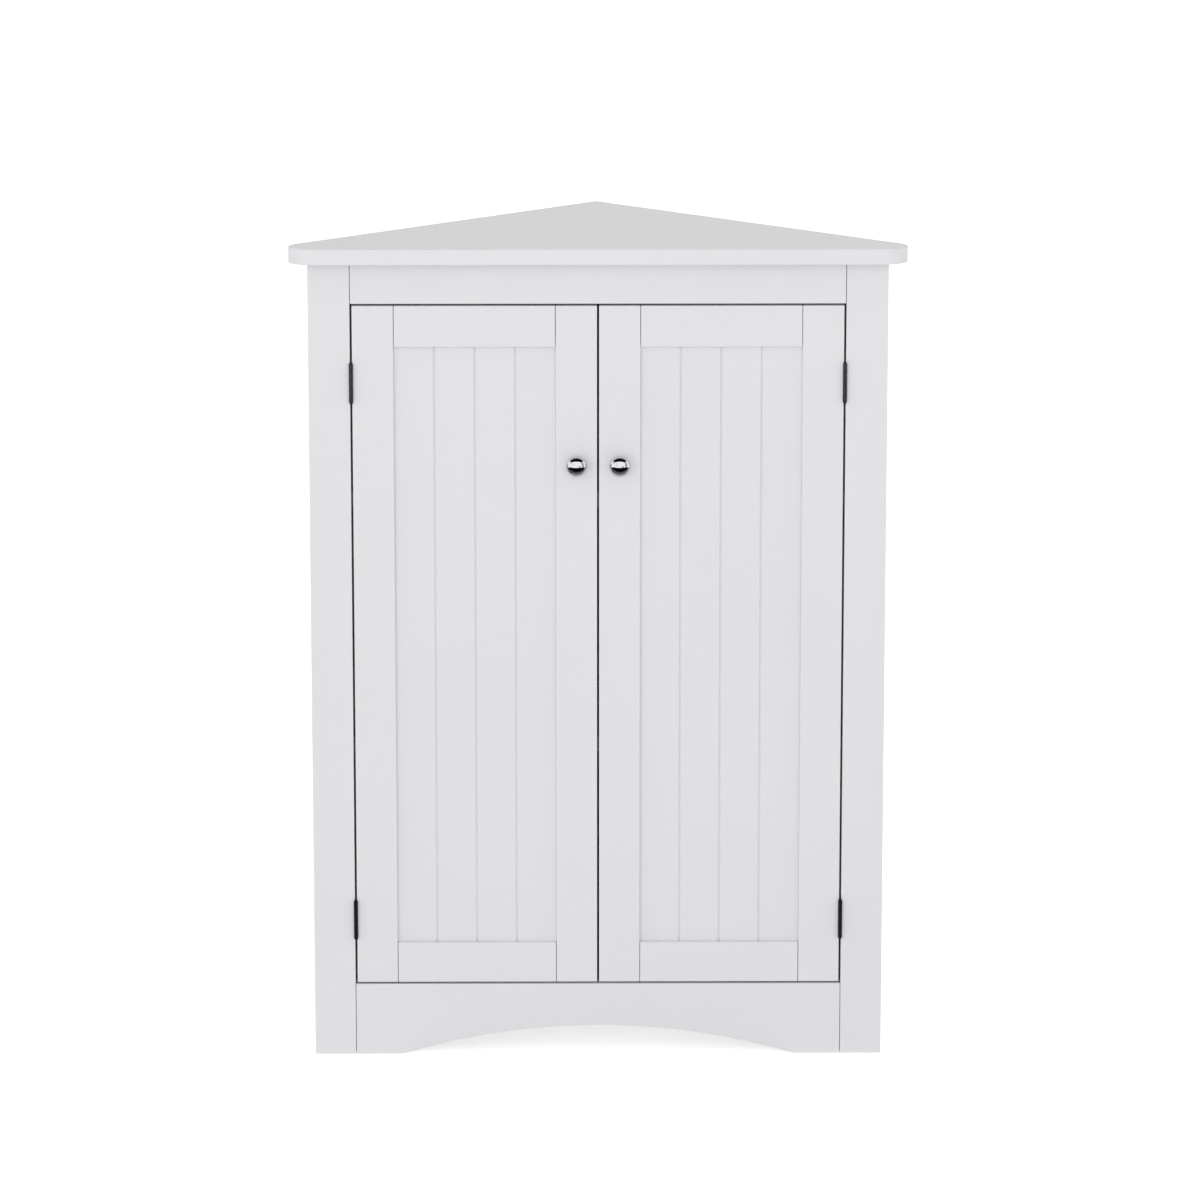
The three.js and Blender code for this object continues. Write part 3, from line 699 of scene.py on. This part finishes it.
for name, side in sides.items():
    hinge_low, hinge_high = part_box(f"{name}_door_hinge_stile")
    hinge_stile = door_member(name, "hinge_stile", hinge_low, hinge_high)
    for level in ("upper", "lower"):
        cut(hinge_stile, leaf_seat(f"{name}_{level}_hinge_door_leaf", f"{name}_door", -side))
    finish_member(name, "hinge_stile", hinge_stile)

    lock_low, lock_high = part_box(f"{name}_door_lock_stile")
    lock_stile = door_member(name, "lock_stile", lock_low, lock_high)
    finish_member(name, "lock_stile", lock_stile)

    left_end = min(hinge_high.x, lock_high.x) + shoulder_gap
    right_end = max(hinge_low.x, lock_low.x) - shoulder_gap
    for part in ("top_rail", "bottom_rail"):
        low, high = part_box(f"{name}_door_{part}")
        rail = door_member(name, part, (left_end, low.y, low.z), (right_end, high.y, high.z))
        finish_member(name, part, rail)

    recoat(f"{name}_door_panel", white_lacquer)

# The knobs
# A chromed, slightly flattened ball on a short waisted neck with a small foot, turned from one
# piece. A screw through the lock stile holds it, with a cross-slotted head on the door's back.
chrome_tone = shade(232, 233, 236)
# The dark rim tint is painted shade: it darkens the chrome's reflections towards the edge of the ball.
painted_rim_shade = (0.25, 0.25, 0.25, 1)
haze_size = 0.004
chrome_roughness = 0.035
haze_roughness = 0.03
chrome_finish = finish("polished_chrome")
haze = chrome_finish.noise(haze_size)
chrome = chrome_finish.surface(
    Base_Color=chrome_tone,
    Metallic=1.0,
    Specular_Tint=painted_rim_shade,
    Roughness=chrome_roughness + haze * haze_roughness,
)
knob_sides = 96
ball_half_depth = 0.006
neck_radius = 0.0042
waist_radius = 0.0037
foot_radius = 0.0052
foot_thickness = 0.0012
foot_round = 0.0003
neck_steps = 8
ball_steps = 40
ball_last_ring = 179
screw_head_radius = 0.004
screw_head_height = 0.0024
screw_crown = 0.0007
knob_screw_radius = 0.002


def arc(count, start, end):
    """Angles from start to end, in radians, both ends included."""
    return [math.radians(start + (end - start) * i / count) for i in range(count + 1)]


for name, side in sides.items():
    door = f"{name}_door"
    low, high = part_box(f"{name}_knob")
    ball_radius = (high.x - low.x) / 2
    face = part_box(f"{door}_lock_stile")[0].y
    centre = face - low.y - ball_half_depth
    neck_angle = math.asin(neck_radius / ball_radius)
    neck_end = centre - ball_half_depth * math.cos(neck_angle)
    neck_middle = (foot_thickness + neck_end) / 2
    neck_half = (neck_end - foot_thickness) / 2
    profile = [(foot_radius - foot_round, joint_gap), (foot_radius, joint_gap + foot_round)]
    profile += [(foot_radius, foot_thickness - foot_round), (foot_radius - foot_round, foot_thickness)]
    for turn in arc(neck_steps, -90, 90):
        waist = neck_radius - (neck_radius - waist_radius) * math.cos(turn)
        profile.append((waist, neck_middle + neck_half * math.sin(turn)))
    for turn in arc(ball_steps, math.degrees(neck_angle), ball_last_ring)[1:]:
        profile.append((ball_radius * math.sin(turn), centre - ball_half_depth * math.cos(turn)))
    profile.append((0, centre + ball_half_depth))
    knob = turned(f"{name}_knob_turning", profile, knob_sides)
    smooth(knob, sharper_than=50)
    settle(knob, ((low.x + high.x) / 2, face, (low.z + high.z) / 2), facing((0, -1, 0)))
    fit(knob, chrome, "chrome", door, f"{name}_knob")

    low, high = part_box(f"{name}_knob_screw")
    screw = turned(f"{name}_knob_screw_turning", [
        (screw_head_radius - screw_crown, 0),
        (screw_head_radius - screw_crown / 4, screw_crown / 3),
        (screw_head_radius, screw_crown),
        (screw_head_radius, screw_head_height),
        (knob_screw_radius, screw_head_height),
        (knob_screw_radius, high.y - low.y),
    ])
    cross_slot(screw, half_width=0.0005, half_length=0.0026, depth=0.0012)
    smooth(screw)
    settle(screw, ((low.x + high.x) / 2, high.y, (low.z + high.z) / 2), facing((0, -1, 0)))
    fit(screw, zinc_steel, "zinc_steel", door, f"{name}_knob_screw")

# The hinges
# Four butt hinges of blackened steel, let into the edges of door and frame. Their barrels stand
# proud of the face: five knuckles turn on a pin with a domed head at either end.
steel_dark = shade(66, 68, 73)
steel_worn = shade(96, 98, 104)
# The dark edge tint is painted shade: it darkens the steel's reflections at its edges, so the hinge
# barrels get dark flanks.
painted_edge_shade = (0.12, 0.12, 0.12, 1)
scale_size = 0.0011
rubbed_size = 0.006
scale_depth = 0.000012
steel_roughness = 0.15
scale_roughness = 0.12
blackened = finish("blackened_steel")
scale_marks = blackened.noise(scale_size, detail=3.0)
rubbed = blackened.noise(rubbed_size)
black_steel = blackened.surface(
    Base_Color=blackened.blend(scale_marks * rubbed, steel_dark, steel_worn),
    Metallic=0.9,
    Specular_Tint=painted_edge_shade,
    Roughness=steel_roughness + scale_marks * scale_roughness,
    Normal=blackened.relief(scale_marks, scale_depth),
)
leaf_reach = 0.012
leaf_corner = 0.0012
leaf_ease = 0.00015
hole_inset = 0.0085
hole_radius = 0.0013
sink_radius = 0.0024
sink_depth = 0.0008
knuckle_count = 5
knuckle_gap = 0.00025
knuckle_ease = 0.0002
knuckle_sides = 40
pin_radius = 0.001
pin_clearance = 0.0001
pin_head_radius = 0.0015
pin_head_rim_share = 0.3
dome_steps = 6
dome_last_ring = 85
small_sides = 32
wood_screw_radius = 0.0011
wood_screw_point = wood_screw_radius / 8
wood_screw_length = 0.009
wood_screw_taper_start = wood_screw_length * 0.7
nearly_parallel = 0.999


def round_corners(piece, axis, radius, steps=6):
    """Rounds the edges of square stock that run along axis 0, 1 or 2."""
    use(piece)
    bpy.context.tool_settings.mesh_select_mode = (False, True, False)
    bpy.ops.object.mode_set(mode="EDIT")
    bpy.ops.mesh.select_all(action="DESELECT")
    bpy.ops.object.mode_set(mode="OBJECT")
    corners = piece.data.vertices
    for edge in piece.data.edges:
        run = (corners[edge.vertices[1]].co - corners[edge.vertices[0]].co).normalized()
        edge.select = abs(run[axis]) > nearly_parallel
    bpy.ops.object.mode_set(mode="EDIT")
    bpy.ops.mesh.bevel(offset=radius, segments=steps)
    bpy.ops.object.mode_set(mode="OBJECT")
    bpy.context.tool_settings.mesh_select_mode = (True, False, False)


def drilled(piece, radius, start, end, place=(0, 0, 0), turn=(0, 0, 0)):
    """A plain hole along the tool's own z axis."""
    tool = turned("drill", [(radius, start), (radius, end)], small_sides)
    cut(piece, settle(tool, place, turn))


def wood_screw(name, place, towards, finish_of, slot, body):
    """A small countersunk screw with a cross slot, whose flush face is at the place."""
    screw = turned(name, [
        (sink_radius - leaf_ease, leaf_ease),
        (sink_radius - leaf_ease, 2 * leaf_ease),
        (wood_screw_radius, leaf_thickness + leaf_ease),
        (wood_screw_radius, wood_screw_taper_start),
        (wood_screw_point, wood_screw_length),
    ], small_sides)
    cross_slot(screw, half_width=0.0003, half_length=0.0015, depth=0.0007)
    smooth(screw)
    settle(screw, place, facing(towards))
    fit(screw, finish_of, slot, body)


def hinge_leaf(node, door, body, towards):
    """One leaf: towards is -1 or +1, the side of the axis on which its plate lies."""
    low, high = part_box(node)
    axis = hinge_axes[door]
    radius = axis.y - low.y
    pitch = (high.z - low.z) / knuckle_count
    inner = axis.x + towards * leaves_apart / 2
    outer = inner + towards * leaf_thickness
    own_first = 0 if body == "carcass" else 1
    leaf = block(
        f"{node}_plate",
        (min(inner, outer), axis.y, low.z),
        (max(inner, outer), high.y, high.z),
    )
    round_corners(leaf, 0, leaf_corner)
    ease(leaf, leaf_ease, steps=2)
    for i in range(knuckle_count):
        start = low.z + i * pitch
        if i % 2 == own_first:
            bottom = knuckle_gap / 2
            top = pitch - knuckle_gap / 2
            knuckle = turned("knuckle", [
                (radius - knuckle_ease, bottom),
                (radius, bottom + knuckle_ease),
                (radius, top - knuckle_ease),
                (radius - knuckle_ease, top),
            ], knuckle_sides)
            join(leaf, settle(knuckle, (axis.x, axis.y, start)))
        else:
            clear = (-knuckle_gap / 2, pitch + knuckle_gap / 2)
            drilled(leaf, radius + knuckle_gap, *clear, (axis.x, axis.y, start))
    drilled(leaf, pin_radius + pin_clearance, low.z - overrun, high.z + overrun, (axis.x, axis.y, 0))
    for height in (low.z + hole_inset, high.z - hole_inset):
        hole = Vector((inner, high.y - leaf_reach / 2, height))
        tool = turned("countersink", [
            (sink_radius, -overrun),
            (sink_radius, 0),
            (hole_radius, sink_depth),
            (hole_radius, leaf_thickness + overrun),
        ], small_sides)
        cut(leaf, settle(tool, hole, facing((towards, 0, 0))))
        end = "upper" if height > (low.z + high.z) / 2 else "lower"
        wood_screw(f"{node}_{end}_screw", hole, (towards, 0, 0), black_steel, "black_steel", body)
    smooth(leaf)
    fit(leaf, black_steel, "black_steel", body, node)


for name, side in sides.items():
    door = f"{name}_door"
    for level in ("upper", "lower"):
        hinge = f"{name}_{level}_hinge"
        hinge_leaf(f"{hinge}_frame_leaf", door, "carcass", side)
        hinge_leaf(f"{hinge}_door_leaf", door, door, -side)
        low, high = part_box(f"{hinge}_pin")
        leaf_low, leaf_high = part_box(f"{hinge}_frame_leaf")
        shank = leaf_high.z - leaf_low.z + 2 * knuckle_gap
        head = high.z - leaf_high.z - knuckle_gap
        rim = pin_head_rim_share * head
        dome = [
            (pin_head_radius * math.cos(turn), shank / 2 + rim + (head - rim) * math.sin(turn))
            for turn in arc(dome_steps, 0, dome_last_ring)
        ]
        upper_half = [(pin_radius, shank / 2), (pin_head_radius, shank / 2), *dome]
        lower_half = [(radius, -height) for radius, height in reversed(upper_half)]
        pin = turned(f"{hinge}_pin_turning", lower_half + upper_half, small_sides)
        smooth(pin)
        settle(pin, (hinge_axes[door].x, hinge_axes[door].y, (low.z + high.z) / 2))
        fit(pin, black_steel, "black_steel", "carcass", f"{hinge}_pin")

# The magnetic catches
# A white moulded shell is screwed to the floor behind each lock stile. Between two steel poles it
# holds a dark ferrite magnet, which meets a small steel strike on the back of the door.
plastic_tone = shade(236, 236, 232)
plastic_dust = shade(229, 229, 224)
sparkle_size = 0.0007
sparkle_depth = 0.00001
plastic_roughness = 0.45
sparkle_roughness = 0.1
plastic = finish("moulded_plastic")
sparkle = plastic.noise(sparkle_size)
white_plastic = plastic.surface(
    Base_Color=plastic.blend(sparkle, plastic_tone, plastic_dust),
    Roughness=plastic_roughness + sparkle * sparkle_roughness,
    Normal=plastic.relief(sparkle, sparkle_depth),
)
ferrite_dark = shade(38, 36, 36)
ferrite_light = shade(62, 59, 58)
crumb_size = 0.0006
crumb_depth = 0.00003
ferrite_roughness = 0.55
crumb_roughness = 0.2
ferrite_finish = finish("ferrite")
crumb = ferrite_finish.noise(crumb_size, detail=4.0)
ferrite = ferrite_finish.surface(
    Base_Color=ferrite_finish.blend(crumb, ferrite_dark, ferrite_light),
    Roughness=ferrite_roughness + crumb * crumb_roughness,
    Normal=ferrite_finish.relief(crumb, crumb_depth),
)
ear_thickness = 0.0026
ear_slot_width = 0.0034
ear_slot_length = 0.006
ear_slot_round = ear_slot_width * 0.49
shell_length = 0.020
shell_ease = 0.0004
shell_wall = 0.0015
shell_corner = 0.0025
pole_height = 0.008
pole_thickness = 0.0013
magnet_recess = 0.001
magnet_set_back = 0.0004
magnet_ease = shell_ease / 4
pan_radius = 0.0029
pan_flat_radius = pan_radius * 0.6
pan_shoulder_radius = pan_radius * 0.88
pan_height = 0.0017
pan_shoulder_drop = pan_height * 0.2
pan_rim_drop = pan_height * 0.6
strike_corner = 0.002
strike_hole_radius = 0.0017

for name, side in sides.items():
    door = f"{name}_door"
    node = f"{name}_catch"
    low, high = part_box(node)
    middle = (low + high) / 2
    ears = block(f"{node}_shell", low, (high.x, high.y, low.z + ear_thickness))
    round_corners(ears, 2, shell_corner)
    ease(ears, shell_ease)
    shell = block(
        "shell",
        (middle.x - shell_length / 2, low.y, low.z),
        (middle.x + shell_length / 2, high.y, high.z),
    )
    ease(shell, shell_ease)
    join(ears, shell)
    recess_half = shell_length / 2 - shell_wall
    recess_low = middle.z - pole_height / 2 + shell_wall
    recess_high = middle.z + pole_height / 2 - shell_wall
    cut(ears, block(
        "recess_tool",
        (middle.x - recess_half, low.y - overrun, recess_low),
        (middle.x + recess_half, low.y + magnet_recess, recess_high),
    ))
    ear_middle = (high.x - low.x + shell_length) / 4
    for end in (-1, 1):
        ear = Vector((middle.x + end * ear_middle, middle.y, high.z))
        half_slot = Vector((ear_slot_width / 2, ear_slot_length / 2, 0))
        through = Vector((0, 0, high.z - low.z + overrun))
        slot = block("slot_tool", ear - half_slot - through, ear + half_slot)
        round_corners(slot, 2, ear_slot_round)
        cut(ears, slot)
        pan = turned(f"{node}_screw_{'left' if end < 0 else 'right'}", [
            (pan_flat_radius, 0),
            (pan_shoulder_radius, pan_shoulder_drop),
            (pan_radius, pan_rim_drop),
            (pan_radius, pan_height),
            (wood_screw_radius, pan_height),
            (wood_screw_radius, wood_screw_taper_start),
            (wood_screw_point, wood_screw_length),
        ], small_sides)
        cross_slot(pan, half_width=0.0003, half_length=0.0016, depth=0.0008)
        smooth(pan)
        head_top = low.z + ear_thickness + pan_height
        settle(pan, (ear.x, ear.y, head_top), facing((0, 0, -1)))
        fit(pan, zinc_steel, "zinc_steel", "carcass")
    smooth(ears)
    fit(ears, white_plastic, "white_plastic", "carcass", node)

    inside = recess_half - magnet_ease
    magnet = block(
        f"{node}_magnet",
        (middle.x - inside, low.y + magnet_set_back, recess_low + pole_thickness),
        (middle.x + inside, low.y + magnet_recess, recess_high - pole_thickness),
    )
    ease(magnet, magnet_ease)
    smooth(magnet)
    fit(magnet, ferrite, "black_steel", "carcass")
    for level, bottom in (("lower", recess_low), ("upper", recess_high - pole_thickness)):
        pole = block(
            f"{node}_{level}_pole",
            (middle.x - inside, low.y, bottom),
            (middle.x + inside, low.y + magnet_recess, bottom + pole_thickness),
        )
        ease(pole, magnet_ease)
        smooth(pole)
        fit(pole, zinc_steel, "zinc_steel", "carcass")

    node = f"{name}_catch_strike"
    low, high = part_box(node)
    middle = (low + high) / 2
    strike = block(f"{node}_plate", low, high)
    round_corners(strike, 1, strike_corner)
    ease(strike, leaf_ease, steps=2)
    face = (middle.x, high.y, middle.z)
    drilled(strike, strike_hole_radius, -overrun, 2 * overrun, face, facing((0, -1, 0)))
    smooth(strike)
    fit(strike, zinc_steel, "zinc_steel", door, node)
    wood_screw(f"{node}_screw", face, (0, -1, 0), zinc_steel, "zinc_steel", door)

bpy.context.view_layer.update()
